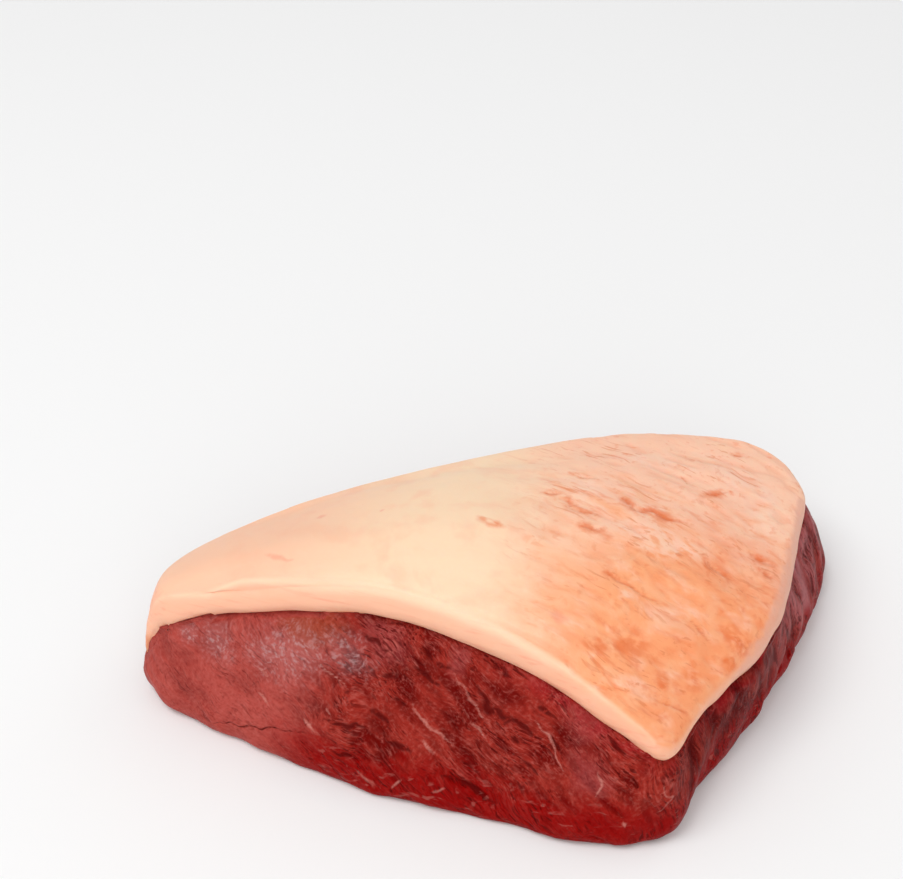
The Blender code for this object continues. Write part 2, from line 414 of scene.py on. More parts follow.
# %% Veins, membrane and stains of the lean
VEINS = (
    (0.9, (-68, 24), (-62, 21)),
    (1.2, (-49, 21), (-42, 18)),
    (0.7, (-68, 32), (-64, 30)),
    (0.7, (-48, 38), (-41, 35), (-34, 33)),
    (0.7, (-41, 27), (-39, 25)),
    (0.9, (-11, 33), (-7, 29), (5, 23)),
    (0.9, (-5, 24), (1, 20)),
    (1.1, (-27, 11), (-19, 5)),
    (0.9, (2, 43), (8, 39), (14, 34), (17, 33)),
    (0.8, (30, 37), (36, 34), (41, 30), (44, 25)),
    (0.9, (56, 28), (58, 24), (57, 20)),
    (0.8, (78, 25), (81, 21), (78, 16)),
    (1.2, (67, 13), (68, 11)),
    (1.1, (-13, 7), (-10, 11)),
    (0.8, (1, 9), (5, 11)),
    (0.7, (7, 34), (18, 27)),
)
BACK_VEINS = (
    (1.1, (58, 20), (46, 15), (38, 13)),
    (0.9, (36, 31), (28, 27)),
    (1.2, (-2, 36), (-10, 24), (-13, 17)),
    (1.0, (-33, 31), (-38, 24)),
    (1.1, (-58, 28), (-68, 19)),
    (0.9, (90, 16), (83, 11)),
)
MEMBRANE = (
    (9, (-70, 37), (-47, 40)),
    (7, (-90, 38), (-82, 33)),
    (6, (-44, 44), (-30, 40)),
    (4, (-100, 35), (-96, 34)),
)
MAUVE_PARTS = (
    (7, (-31, 50), (-18, 47)),
    (8, (44, 43), (54, 39)),
    (4, (1, 44), (4, 49)),
    (7, (49, 29), (58, 23)),
)
RUST_PART = ((10, (-62, 46), (-40, 48)),)
print("veins:", len(VEINS), "on the front,", len(BACK_VEINS), "on the back")

# %% [markdown]
# All of it together is a height for each point, and a few masks that the paint uses again.
# The left third of the front is a smooth muscle with hardly any splits, and runs on round
# the tip. Along the low edge the meat hangs in small soft lumps.

# %% Relief of the lean
BUNDLE_HEIGHT = 0.95  # mm
SPLIT_DEPTH = 0.60
SPLIT_SHOULDER = -0.7  # the dent round a drawn split starts at this nearness
SMOOTH_PART = (-62.0, -28.0)  # along x, where the smooth muscle ends
ROUND_TIP = (-0.7, 0.3)  # of the direction that a face looks in
SMOOTH_SHARE = 0.34  # of the splits are left on it
CALM_BUNDLES = 0.5  # of the bundles' height is there without any splits
LUMP = (13.0, 1.0)  # size and height in mm
LOW_EDGE = (12.0, 3.0)  # heights over the floor between which the lumps take over
LOW_SHARE = 0.7  # of the relief, which they replace there
ROUGHEN = (4.0, 1.2)  # size and reach of the jitter that makes drawn lines uneven


def lean_relief(points, normals):
    """The height of each point in mm, and the masks that the paint needs."""
    end = on_end(points)
    front = on_front(normals)
    back = on_front(-normals) * (1 - end)
    bent = drifted(points, DRIFT_SIZE, DRIFT)
    before = fibres(bent, FRONT_GRAIN, 1.0, FRONT_SEED)
    behind = fibres(bent, BACK_GRAIN, 1.0, BACK_SEED)
    across = fibres(bent, END_GRAIN, END_COARSE, END_SEED)
    bundle, split = (
        a * (1 - end - back) + b * back + c * end for a, b, c in zip(before, behind, across)
    )
    round_tip = ease(*ROUND_TIP, -normals[:, 1])
    rough = 1 - (1 - SMOOTH_SHARE) * ease(*SMOOTH_PART[::-1], points[:, 0]) * round_tip
    split = split * rough

    jittered = drifted(points, *ROUGHEN)
    from_front, from_right = jittered[:, [0, 2]], jittered[:, [1, 2]]
    off_front, off_back = FAR * (1 - front), FAR * (1 - back)
    drawn = np.maximum(
        nearness(from_front, FRONT_SPLITS) - off_front,
        nearness(from_front, BACK_SPLITS) - off_back,
    )
    drawn = np.where(end > 0.5, nearness(from_right, END_SPLITS), drawn)

    heights = BUNDLE_HEIGHT * bundle * (CALM_BUNDLES + (1 - CALM_BUNDLES) * rough)
    heights -= SPLIT_DEPTH * np.maximum(split, ease(SPLIT_SHOULDER, 1.0, drawn))
    low = ease(*LOW_EDGE, points[:, 2])
    heights *= 1 - LOW_SHARE * low
    lump_size, lump_height = LUMP
    heights += lump_height * noise_at(points / lump_size) * low

    masks = {"bundle": bundle * 0.5 + 0.5, "split": split, "rough": rough, "drawn": drawn}
    masks |= {"end": end, "front": front, "back": back}
    stains = {"vein": VEINS, "membrane": MEMBRANE, "mauve": MAUVE_PARTS, "rust": RUST_PART}
    for name, lines in stains.items():
        masks[name] = nearness(from_front, lines) - off_front
    masks["vein"] = np.maximum(masks["vein"], nearness(from_front, BACK_VEINS) - off_back)
    return heights, masks


# %% [markdown]
# Fat and lean grow together on real meat. The solids have a hair's gap between them, and
# the fat juts out a little over the lean, which would throw a black line of shadow. So
# the lean's covered top rises and the fat sinks by half a millimetre, and the lean's wall
# comes out to meet the fat: from a probe outside and a little higher, the nearest point
# of the fat shows how far. Only the very tip keeps its wall, where the fat hangs over it.

# %% Close the seam
GAP_SHARE = 0.5  # mm
GAP_CLOSED = (1.6, 0.4)  # mm from the other piece, where the move starts and is whole
LIP_FILLED = (6.0, 1.0)
LIP_MOST = 2.5
LIP_KEPT = (-119.0, -112.0)  # along x
WALL = 0.9  # a wall looks less up or down than this
PROBE = (8.0, 0.8)  # mm outwards and up
STRAIGHT = (0.80, 0.98)  # at a corner the nearest point lies sideways, and is not followed


def sink(points, normals, away, tree):
    """The moves that bring the fat down onto the lean, in mm."""
    return np.outer(ease(*GAP_CLOSED, away), (0.0, 0.0, -GAP_SHARE))


def rise(points, normals, away, tree):
    """The moves that bring the lean up and out to the fat, in mm."""
    moves = np.zeros_like(points)
    outward, upward = PROBE
    for index in np.flatnonzero((away < LIP_FILLED[0]) & (np.abs(normals[:, 2]) < WALL)):
        level = normals[index] * (1.0, 1.0, 0.0)
        level /= np.linalg.norm(level)
        probe = points[index] + level * outward + (0.0, 0.0, away[index] + upward)
        way = np.array(tree.find_nearest(Vector(probe * MM))[0][:]) / MM - points[index]
        out = way @ level
        straight = ease(*STRAIGHT, out / np.linalg.norm(way[:2]))
        moves[index] = level * np.clip(out, 0.0, LIP_MOST) * straight
    moves *= (ease(*LIP_FILLED, away) * ease(*LIP_KEPT, points[:, 0]))[:, None]
    return moves - sink(points, normals, away, tree)


# %% [markdown]
# Every point of a skin moves along its own direction by its height. Near the seam and on
# the flat underside the relief fades out, so the fat still sits on the lean and the cut
# still lies flat. No point leaves its solid's box.

# %% Press the relief into a skin
SEAM_CLEAR = (0.35, 2.2)  # mm from the other piece, where the relief starts and is whole
ON_FLOOR = 3.0  # mm over the floor

lean_tree = BVHTree.FromBMesh(lean_skin)
fat_tree = BVHTree.FromBMesh(fat_skin)


def press(bm, relief, node, tree, settle):
    """Moves the points of a skin, and stores the masks. The tree finds the other skin."""
    points, normals = places(bm)
    away = np.array([tree.find_nearest(vert.co)[3] for vert in bm.verts]) / MM
    heights, masks = relief(points, normals)
    masks["seam"] = away
    masks["under"] = ease(*UNDER_BLEND, -normals[:, 2])

    on_floor = masks["under"] * (points[:, 2] < ON_FLOOR)
    shown = ease(*SEAM_CLEAR, away) * (1 - on_floor)
    moved = points + normals * (heights * shown)[:, None] + settle(points, normals, away, tree)
    low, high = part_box(node)
    moved = np.clip(moved * MM, low, high)
    for name, values in masks.items():
        layer = bm.verts.layers.float.new(name)
        for vert, value in zip(bm.verts, values.tolist()):
            vert[layer] = value
    for vert, place in zip(bm.verts, moved.tolist()):
        vert.co = place
    print(node, "relief from", heights.min().round(2), "to", heights.max().round(2), "mm")


def finished(bm, name, node):
    """Makes the skin a smooth-shaded piece that stands for its solid."""
    mesh = bpy.data.meshes.new(name)
    bm.to_mesh(mesh)
    bm.free()
    mesh.shade_smooth()
    piece = bpy.data.objects.new(name, mesh)
    bpy.context.scene.collection.objects.link(piece)
    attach(piece, "root")
    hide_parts(node)
    return piece


press(lean_skin, lean_relief, "lean", fat_tree, rise)
lean = finished(lean_skin, "lean_muscle", "lean")

# %% [markdown]
# ## Relief of the fat
# The fat is smooth on the narrow half. On the wide half its skin is wrinkled along the
# cut, with a few real slits and cracks. The slits are drawn lines again, now as seen from
# above, in x and y: a half width in millimetres, then the points that a slit runs through.

# %% Slits of the fat
SLITS = (
    (1.5, (41, 17), (47, 12), (53, 16), (59, 15), (65, 17)),
    (0.9, (22, 8), (26, 1), (34, 2)),
    (1.0, (31, -7), (39, -5)),
    (0.8, (14, 8), (19, 10)),
    (1.1, (73, 4), (78, -1), (86, -3)),
    (1.0, (90, 15), (99, 14)),
    (1.1, (95, 8), (99, 7)),
    (0.8, (44, -24), (53, -25), (64, -27)),
    (0.7, (20, 26), (30, 24)),
    (0.7, (74, 73), (79, 73)),
    (0.7, (68, 37), (77, 45)),
    (0.7, (58, 46), (64, 40)),
    (0.8, (75, -27), (83, -32)),
    (0.9, (90, -25), (96, -27), (93, -33)),
    (0.7, (70, -61), (82, -59)),
)
print("slits:", len(SLITS))

# %% [markdown]
# Deep orange marks lie round the slits and in the near corner, a few pink ones on the
# smooth half, and pale parts between them. On the right the trimmed edge is a pale rose.
# They are paint with places of their own, as the veins are.

# %% Stains of the fat
ORANGE_MARKS = (
    (3.0, (41, 17), (47, 12), (53, 16), (59, 15), (65, 17)),
    (2.0, (22, 8), (26, 1), (34, 2)),
    (2.2, (31, -7), (39, -5)),
    (2.0, (14, 8), (19, 10)),
    (2.2, (73, 4), (78, -1), (86, -3)),
    (2.2, (90, 15), (99, 14)),
    (2.2, (95, 8), (99, 7)),
    (1.8, (-3, -18), (5, -19)),
    (4.0, (46, -50), (48, -54)),
    (4.5, (54, -49), (62, -42)),
    (4.5, (86, -27), (96, -26)),
    (3.0, (89, -34), (94, -34)),
    (3.0, (70, -53), (75, -53)),
    (3.0, (80, -49), (81, -45)),
    (2.0, (74, 73), (79, 73)),
    (2.0, (68, 37), (77, 45)),
    (1.8, (20, 26), (30, 24)),
    (2.0, (44, -24), (48, -25)),
)
PINK_MARKS = (
    (4.0, (31, -48), (36, -47)),
    (1.4, (-40, -19), (-39, -19)),
    (1.2, (-49, -15), (-48, -15)),
    (1.2, (-32, -4), (-31, -4)),
    (2.2, (-63, -24), (-61, -23)),
    (2.0, (-73, -48), (-63, -49)),
)
PALE_PARTS = (
    (11, (42, 1), (72, 2)),
    (8, (36, 48), (62, 52)),
    (9, (20, 20), (34, 14)),
    (12, (64, 66), (88, 50), (94, 30)),
)
PALE_EDGE = (
    (4, (104, 60), (105, 44), (105, 21), (105, 0), (104, -12), (100, -26), (96, -36),
     (91, -47), (87, -62)),
)
print("marks:", len(ORANGE_MARKS), "orange,", len(PINK_MARKS), "pink")

# %% [markdown]
# The wrinkles are the same kind of stretched noise as the splits in the muscle, but
# shallower. A rounded rim runs along the front where the top turns down, and the trimmed
# edge has fine steps where the knife went along. On the right the coloured skin of the
# top runs on further over the edge than elsewhere, and the mask for the paint says so.

# %% Relief of the fat
FAT_GRAIN = unit(0.96, -0.24, 0.0)
FAT_WRINKLE = (15.0, 3.4)  # length and width in mm
WRINKLE_SHOWS = (0.10, 0.45)
WRINKLE_DEPTH = 0.30
WRINKLED = (-8.0, 40.0)  # along x, from the smooth half to the wrinkled one
FAT_LUMP = (9.0, 0.55)  # size and height in mm
CALM_LUMPS = 0.25  # of their height is left on the smooth half
SLIT_DEPTH = 0.75
TRIM_STEP = (26.0, 1.5, 0.22)  # length, width and height in mm
RIM_HEIGHT = 0.5
RIM = (
    (2.2, (-112, -62), (-92, -61), (-79, -57), (-51, -56), (-32, -55), (-23, -55), (-4, -56),
     (16, -58), (39, -63), (63, -71), (73, -74)),
)
TOP_BLEND = (0.45, 0.85)  # of the direction that a face looks in
RIM_BLEND = (0.15, 0.5)
RIGHT_BLEND = (0.1, 0.4)
RIGHT_COVER = 0.25
WRINKLE_SEED, FAT_LUMP_SEED, TRIM_SEED = 5.3, 1.9, 4.4


def fat_relief(points, normals):
    """The height of each point in mm, and the masks that the paint needs."""
    top = ease(*TOP_BLEND, normals[:, 2])
    wrinkled = ease(*WRINKLED, points[:, 0]) * top
    bent = drifted(points, DRIFT_SIZE, DRIFT)
    wrinkle = grain_noise(bent, FAT_GRAIN, *FAT_WRINKLE, WRINKLE_SEED)
    wrinkle = ease(*WRINKLE_SHOWS, wrinkle) * wrinkled
    from_above = drifted(points, *ROUGHEN)[:, :2]
    slit = ease(0.0, 1.0, nearness(from_above, SLITS)) * top
    rim = ease(0.0, 1.0, nearness(points[:, :2], RIM)) * ease(*RIM_BLEND, normals[:, 2])
    lump_size, lump_height = FAT_LUMP
    heights = lump_height * noise_at(bent / lump_size, FAT_LUMP_SEED)
    heights *= CALM_LUMPS + (1 - CALM_LUMPS) * wrinkled
    heights += RIM_HEIGHT * rim - WRINKLE_DEPTH * wrinkle - SLIT_DEPTH * slit
    length, width, step = TRIM_STEP
    along_rim = points * np.array((1 / length, 1 / length, 1 / width))
    heights += step * noise_at(along_rim, TRIM_SEED) * (1 - top)

    turn_start, turn_end = TOP_BLEND
    side = RIGHT_COVER * ease(*RIGHT_BLEND, normals[:, 0])
    cover = ease(turn_start - side, turn_end - side, normals[:, 2])
    masks = {"wrinkle": wrinkle, "slit": slit, "top": cover, "rim": rim}
    stains = {"orange": ORANGE_MARKS, "pink": PINK_MARKS, "pale": PALE_PARTS}
    stains |= {"edge": PALE_EDGE, "crack": SLITS}
    for name, lines in stains.items():
        masks[name] = nearness(from_above, lines)
    return heights, masks


press(fat_skin, fat_relief, "fat_cap", lean_tree, sink)
fat = finished(fat_skin, "fat_layer", "fat_cap")

# %% [markdown]
# ## Paint: small tools
# A material is a graph of nodes. Written out in full it would be long, so a few short
# functions each add one node and hand back its output. A layer of paint is one coat.

# %% Node tools: colours and numbers


def shade(red, green, blue):
    """A colour as a screen shows it, 0 to 255, turned into the linear values of light."""
    linear = []
    for value in (red, green, blue):
        value /= 255
        linear.append(value / 12.92 if value <= 0.04045 else ((value + 0.055) / 1.055) ** 2.4)
    return (*linear, 1.0)


def feed(socket, value):
    """Links another node's output into a socket, or sets the socket's own value."""
    if isinstance(value, bpy.types.NodeSocket):
        socket.id_data.links.new(value, socket)
    else:
        socket.default_value = value


def maths(tree, operation, *values, clamp=False):
    node = tree.nodes.new("ShaderNodeMath")
    node.operation = operation
    node.use_clamp = clamp
    for socket, value in zip(node.inputs, values):
        feed(socket, value)
    return node.outputs[0]


def times(tree, *values):
    product = values[0]
    for value in values[1:]:
        product = maths(tree, "MULTIPLY", product, value)
    return product


def scaled(tree, value, factor, offset):
    """The value times the factor, plus the offset."""
    return maths(tree, "MULTIPLY_ADD", value, factor, offset)


def fade(tree, value, low, high):
    """0 at low and 1 at high, smooth between; low may be the higher one."""
    node = tree.nodes.new("ShaderNodeMapRange")
    node.interpolation_type = "SMOOTHSTEP"
    feed(node.inputs["Value"], value)
    node.inputs["From Min"].default_value = low
    node.inputs["From Max"].default_value = high
    return node.outputs["Result"]


def coat(tree, colour, over, *shares):
    """The colour, covered by the other one as far as the product of the shares says."""
    share = times(tree, *shares)
    node = tree.nodes.new("ShaderNodeMix")
    node.data_type = "RGBA"
    feed(node.inputs["Factor"], share)
    feed(node.inputs[6], colour)
    feed(node.inputs[7], over)
    return node.outputs[2]


def either(tree, share, first, second):
    """The first number where share is 0, and the second where it is 1."""
    node = tree.nodes.new("ShaderNodeMix")
    feed(node.inputs["Factor"], share)
    feed(node.inputs[2], first)
    feed(node.inputs[3], second)
    return node.outputs[0]


# %% [markdown]
# The next tools answer where a point is, and give the noises. Sizes are in millimetres,
# because the first node of each material turns the piece's own coordinates into them.

# %% Node tools: places and noise
X_AXIS, Y_AXIS, Z_AXIS = (1, 0, 0), (0, 1, 0), (0, 0, 1)


def vectors(tree, operation, *values):
    node = tree.nodes.new("ShaderNodeVectorMath")
    node.operation = operation
    for socket, value in zip(node.inputs, values):
        feed(socket, value)
    return node.outputs["Value" if operation in ("DOT_PRODUCT", "DISTANCE") else "Vector"]


def along(tree, point, axis):
    """How far the point lies along an axis."""
    return vectors(tree, "DOT_PRODUCT", point, axis)


def grow(tree, point, factor):
    node = tree.nodes.new("ShaderNodeVectorMath")
    node.operation = "SCALE"
    feed(node.inputs["Vector"], point)
    feed(node.inputs["Scale"], factor)
    return node.outputs["Vector"]


def millimetres(tree):
    """The piece's own coordinates, in millimetres."""
    return grow(tree, tree.nodes.new("ShaderNodeTexCoord").outputs["Object"], 1 / MM)


def cloud(tree, point, size, detail=2.0, output="Fac"):
    """A noise whose blobs are about size wide."""
    node = tree.nodes.new("ShaderNodeTexNoise")
    feed(node.inputs["Vector"], point)
    node.inputs["Scale"].default_value = 1 / size
    node.inputs["Detail"].default_value = detail
    return node.outputs[output]


def shaken(tree, point, size, reach):
    """The point, pushed aside by a noise of the given size."""
    push = vectors(tree, "SUBTRACT", cloud(tree, point, size, output="Color"), (0.5, 0.5, 0.5))
    return vectors(tree, "ADD", point, grow(tree, push, reach))


def stretched(tree, point, grain, length, width, detail=2.0):
    """A noise whose blobs are as long and as wide as stated."""
    grain = Vector(grain)
    side = grain.orthogonal().normalized()
    axes = (grain / length, side / width, grain.cross(side) / width)
    node = tree.nodes.new("ShaderNodeCombineXYZ")
    for socket, axis in zip(node.inputs, axes):
        feed(socket, along(tree, point, axis))
    return cloud(tree, node.outputs[0], 1.0, detail=detail)


# %% [markdown]
# The last tools read the masks on the skin, and join a finished paint to its shader. A
# drawn mark gets an uneven border: a noise is added to how near the point is to its line.
# What is the same all over the surface is set on the shader's own sockets.

# %% Node tools: masks and the surface
WOBBLE = 0.8


def mask(tree, name):
    """One of the masks that were stored on the skin."""
    node = tree.nodes.new("ShaderNodeAttribute")
    node.attribute_name = name
    return node.outputs["Fac"]


def marked(tree, name, noise, low, high):
    """Where the skin is near the drawn lines of that name, with an uneven border."""
    near = scaled(tree, noise, WOBBLE, mask(tree, name))
    return fade(tree, near, low + WOBBLE / 2, high + WOBBLE / 2)


def new_paint(name):
    paint = bpy.data.materials.new(name)
    paint.use_nodes = True
    return paint


def surface(tree, colour, relief, bump, noise, roughness, sockets):
    """Joins the paint to the shader. Bump is a strength and a depth in mm."""
    node = tree.nodes.new("ShaderNodeBump")
    strength, depth = bump
    node.inputs["Strength"].default_value = strength
    node.inputs["Distance"].default_value = depth * MM
    feed(node.inputs["Height"], relief)
    shader = tree.nodes["Principled BSDF"]
    feed(shader.inputs["Base Color"], colour)
    feed(shader.inputs["Normal"], node.outputs[0])
    feed(shader.inputs["Roughness"], scaled(tree, noise, *roughness))
    for socket, value in sockets.items():
        shader.inputs[socket].default_value = value
    print("paint of", len(tree.nodes), "nodes")


# %% [markdown]
# ## Paint of the lean
# Fresh beef is not one red. Its bundles are a brownish red with a pale, almost mauve
# bloom where the surface dries, and the pale strands also carry a painted sheen. The
# hollows between the bundles, the fine lines between the strands and the splits are
# painted in deeper reds, which are painted shade in them. The low edge is a clear red
# where the juice gathers, and thin veins of fat cross it. Near the tip a silvery membrane
# covers part of the front. Each is one layer, painted over the last. In a layer, the two
# numbers of a fade are the values of the noise where it starts and is whole, and a number
# that stands alone is how much the layer covers at most.

# %% Lean: colours
# darker patches of the meat, and painted shade in splits, fine lines and the end's near part
WINE = shade(80, 0, 0)
DEEP_RED = shade(108, 4, 0)
BEEF_RED = shade(154, 43, 33)
STRAND_RED = shade(196, 104, 94)
BROWN_PINK = shade(178, 78, 70)
MAUVE = shade(152, 68, 68)
# a painted sheen on the ridges of the end
END_SHEEN_MAUVE = shade(170, 92, 95)
SILVER = shade(186, 148, 148)
VEIN = shade(212, 138, 126)
CLEAR_RED = shade(142, 0, 0)
CRIMSON = shade(164, 22, 34)
RUST = shade(152, 60, 34)

# %% [markdown]
# Several layers share the same places, masks and noises, so these are made first and
# kept together. The grain bends slowly, and spots and splits waver more than fibres.

# %% Lean: noises
# size and reach in mm of what pushes the grain aside
SWEEP = (34.0, 16.0)
WAVER = (9.0, 3.5)
COMBED = (9.0, 1.4)
# sizes in mm
SPOT = 7.0
FLECK = 2.6
GRAIN = 1.3
BUSY_PART = 15.0


def lean_noises(tree):
    at = SimpleNamespace(point=millimetres(tree))
    swept = shaken(tree, at.point, *SWEEP)
    at.bent = shaken(tree, swept, *WAVER)
    at.combed = shaken(tree, swept, *COMBED)
    at.spots = cloud(tree, at.bent, SPOT, detail=3.0)
    at.flecks = cloud(tree, at.bent, FLECK)
    at.grain = cloud(tree, at.bent, GRAIN, detail=3.0)
    at.end, at.under = mask(tree, "end"), mask(tree, "under")
    busy = scaled(tree, fade(tree, cloud(tree, at.bent, BUSY_PART), 0.40, 0.56), 0.7, 0.3)
    at.rough = times(tree, scaled(tree, mask(tree, "rough"), 0.8, 0.2), busy)
    return at


# %% [markdown]
# The broad colours come first: bundles and patches of two reds, with the deeper red as
# painted shade in the hollows of the bundles, the pinkish smooth third, a mauve painted
# sheen on the ridges of the end's far part and painted shade on its near part. Then comes
# the clear red of the low edge and the underside, and a crimson line under the fat on the
# right.

# %% Lean: broad colours
LEAN_PATCH = 18.0  # mm
# along y, where the painted sheen on the end's ridges lies
END_SHEEN_SPAN = (-25.0, 40.0)  # along y, where the mauve ridges start and are whole
# along y, where the painted shade on the end's near part starts, and where it stops
END_SHADE_FROM = (30.0, -30.0)
END_SHADE_UNTIL = (-80.0, -60.0)
JUICY = (29.0, 18.0)  # heights in mm, with the spots' noise added
JUICY_SPOTS = 14.0
JUICY_FROM = (-70.0, -40.0)  # along x
CRIMSON_SEAM = (9.0, 1.0)  # mm from the fat
CRIMSON_FROM = (8.0, 35.0)  # along x


def lean_base(tree, at):
    x, y, z = (along(tree, at.point, axis) for axis in (X_AXIS, Y_AXIS, Z_AXIS))
    end, front, under, seam = (mask(tree, name) for name in ("end", "front", "under", "seam"))
    bundle, rough = mask(tree, "bundle"), mask(tree, "rough")
    patches = cloud(tree, at.bent, LEAN_PATCH, detail=3.0)
    # the bundles' relief picks the red: the deeper red in its hollows is painted shade
    colour = coat(tree, DEEP_RED, BEEF_RED, fade(tree, bundle, 0.34, 0.66))
    colour = coat(tree, colour, BEEF_RED, fade(tree, patches, 0.44, 0.60), 0.7)
    colour = coat(tree, colour, WINE, fade(tree, patches, 0.46, 0.32), 0.4)
    smooth = fade(tree, rough, 1.0, SMOOTH_SHARE)
    pinkish = scaled(tree, fade(tree, patches, 0.35, 0.6), 0.3, 0.6)
    colour = coat(tree, colour, BROWN_PINK, smooth, pinkish)
    colour = coat(tree, colour, MAUVE, marked(tree, "mauve", at.spots, -0.4, 0.8), 0.5)
    # a painted mauve sheen on the bundles' ridges, on the far part of the end
    end_sheen = times(tree, end, fade(tree, bundle, 0.30, 0.65), fade(tree, y, *END_SHEEN_SPAN))
    # painted shade, a deeper wine red, on the near part of the end
    at.dull = times(tree, end, fade(tree, y, *END_SHADE_FROM), fade(tree, y, *END_SHADE_UNTIL))
    colour = coat(tree, colour, WINE, at.dull, 0.35)
    colour = coat(tree, colour, END_SHEEN_MAUVE, end_sheen)

    low = fade(tree, maths(tree, "ADD", z, times(tree, at.spots, JUICY_SPOTS)), *JUICY)
    at.low = times(tree, low, fade(tree, x, *JUICY_FROM))
    colour = coat(tree, colour, CLEAR_RED, maths(tree, "MAXIMUM", at.low, under), 0.9)
    crimson = times(tree, fade(tree, seam, *CRIMSON_SEAM), fade(tree, x, *CRIMSON_FROM), front)
    colour = coat(tree, colour, CRIMSON, crimson, fade(tree, at.spots, 0.35, 0.6), 0.5)
    return coat(tree, colour, RUST, marked(tree, "rust", at.spots, 0.0, 0.9), 0.8)


# %% [markdown]
# Over that go the fibres: pale strands with a dry bloom, which also carry a painted sheen,
# fine dark lines between them, which are painted shade, a grain of tiny flecks, and the
# splits, painted dark as painted shade in them. The short and long dashes are painted
# splits that are too fine for the relief, shaded the same way. The same noise, moved
# aside, gives a new pattern.

# %% Lean: fibres and splits
# length and width in mm
FINE = (6.0, 0.5)
STRAND = (10.0, 1.2)
DASH = (6.0, 0.9)
LONG_DASH = (13.0, 1.5)
DASH_SHIFT = (31.0, 17.0, 5.0)
LONG_DASH_SHIFT = (7.0, 43.0, 29.0)


def along_fibres(tree, point, length, width):
    """A noise along the grain of whichever side the point is on."""
    before = stretched(tree, point, FRONT_GRAIN, length, width)
    behind = stretched(tree, point, BACK_GRAIN, length, width)
    across = stretched(tree, point, END_GRAIN, length * END_COARSE, width * END_COARSE)
    end = mask(tree, "end")
    return either(tree, end, either(tree, mask(tree, "back"), before, behind), across)


def lean_fibres(tree, at, colour):
    at.fine = along_fibres(tree, at.combed, *FINE)
    at.strands = along_fibres(tree, at.combed, *STRAND)
    dashes = along_fibres(tree, vectors(tree, "ADD", at.bent, DASH_SHIFT), *DASH)
    dashes = scaled(tree, at.end, 0.05, dashes)
    long_dashes = vectors(tree, "ADD", at.bent, LONG_DASH_SHIFT)
    long_dashes = along_fibres(tree, long_dashes, *LONG_DASH)
    moist = scaled(tree, at.low, -0.8, 1.0)
    dry_and_lit = maths(tree, "MULTIPLY_ADD", at.dull, -0.5, moist, clamp=True)
    # pale strands: the meat's dry bloom and a painted sheen on them, less on the moist low edge
    # and in the end's painted shade
    bloom_and_sheen = times(tree, fade(tree, at.strands, 0.50, 0.72), fade(tree, at.spots, 0.40, 0.65))
    colour = coat(tree, colour, STRAND_RED, bloom_and_sheen, at.rough, dry_and_lit, 0.55)
    # pale fine strands: a painted sheen on the ridges of the fine relief
    pale = fade(tree, at.fine, 0.52, 0.72)
    colour = coat(tree, colour, STRAND_RED, pale, at.rough, dry_and_lit, 0.3)
    # fine dark lines between the strands: painted shade in the grooves, more on the end
    more_on_end = scaled(tree, at.end, 0.3, 0.45)
    colour = coat(tree, colour, WINE, fade(tree, at.fine, 0.48, 0.32), at.rough, more_on_end)
    colour = coat(tree, colour, STRAND_RED, fade(tree, at.grain, 0.48, 0.72), dry_and_lit, 0.24)
    colour = coat(tree, colour, DEEP_RED, fade(tree, at.grain, 0.50, 0.25), 0.35)

    # dashes, drawn splits and the relief's splits are painted wine red: painted shade in the
    # splits
    short = times(tree, fade(tree, dashes, 0.56, 0.68), fade(tree, at.spots, 0.62, 0.46))
    short = times(tree, short, at.rough)
    longer = times(tree, fade(tree, long_dashes, 0.57, 0.66), fade(tree, at.spots, 0.42, 0.55))
    longer = times(tree, longer, at.rough, 0.8)
    drawn = marked(tree, "drawn", at.grain, 0.0, 0.8)
    drawn = times(tree, drawn, fade(tree, at.flecks, 0.28, 0.48))
    at.dark = short
    for other in (longer, drawn, times(tree, mask(tree, "split"), 0.35)):
        at.dark = maths(tree, "MAXIMUM", at.dark, other)
    return coat(tree, colour, WINE, at.dark, 0.85)


# %% [markdown]
# Last come the membrane, which is a film with a finer white web in it, and the veins of
# fat. On the underside and along the low edge there are more veins, by rule.

# %% Lean: membrane and veins
FILM_PATCH = 8.0  # mm
MARBLING = (14.0, 2.0)  # length and width in mm
MARBLING_GRAIN = unit(0.95, 0.3, 0.0)


def lean_film_and_veins(tree, at, colour):
    patches = cloud(tree, at.point, FILM_PATCH, detail=3.0)
    film = marked(tree, "membrane", patches, -0.5, 1.0)
    web = times(tree, fade(tree, at.grain, 0.42, 0.68), fade(tree, at.flecks, 0.38, 0.62))
    colour = coat(tree, colour, SILVER, film, scaled(tree, web, 0.5, 0.15))

    veins = marked(tree, "vein", at.grain, 0.1, 1.0)
    veins = times(tree, veins, fade(tree, at.spots, 0.22, 0.55))
    marbling = stretched(tree, at.bent, MARBLING_GRAIN, *MARBLING, detail=3.0)
    marbled = maths(tree, "MAXIMUM", at.under, times(tree, at.low, 0.35))
    marbled = times(tree, fade(tree, marbling, 0.60, 0.70), marbled)
    at.veins = maths(tree, "MAXIMUM", veins, marbled)
    return coat(tree, colour, VEIN, at.veins, 0.6)


# %% [markdown]
# Strands and veins stand out a little, and splits are lower. That is too fine for the
# mesh, so it is a bump. The surface is moist but not shiny, and a little light goes in.

# %% Lean: surface
LEAN_BUMP = (0.6, 0.4)
LEAN_ROUGHNESS = (0.2, 0.30)
LEAN_SOCKETS = {
    "Specular IOR Level": 0.04,
    "Subsurface Weight": 0.1,
    "Subsurface Radius": (1.0, 0.2, 0.12),
    "Subsurface Scale": 3 * MM,
}


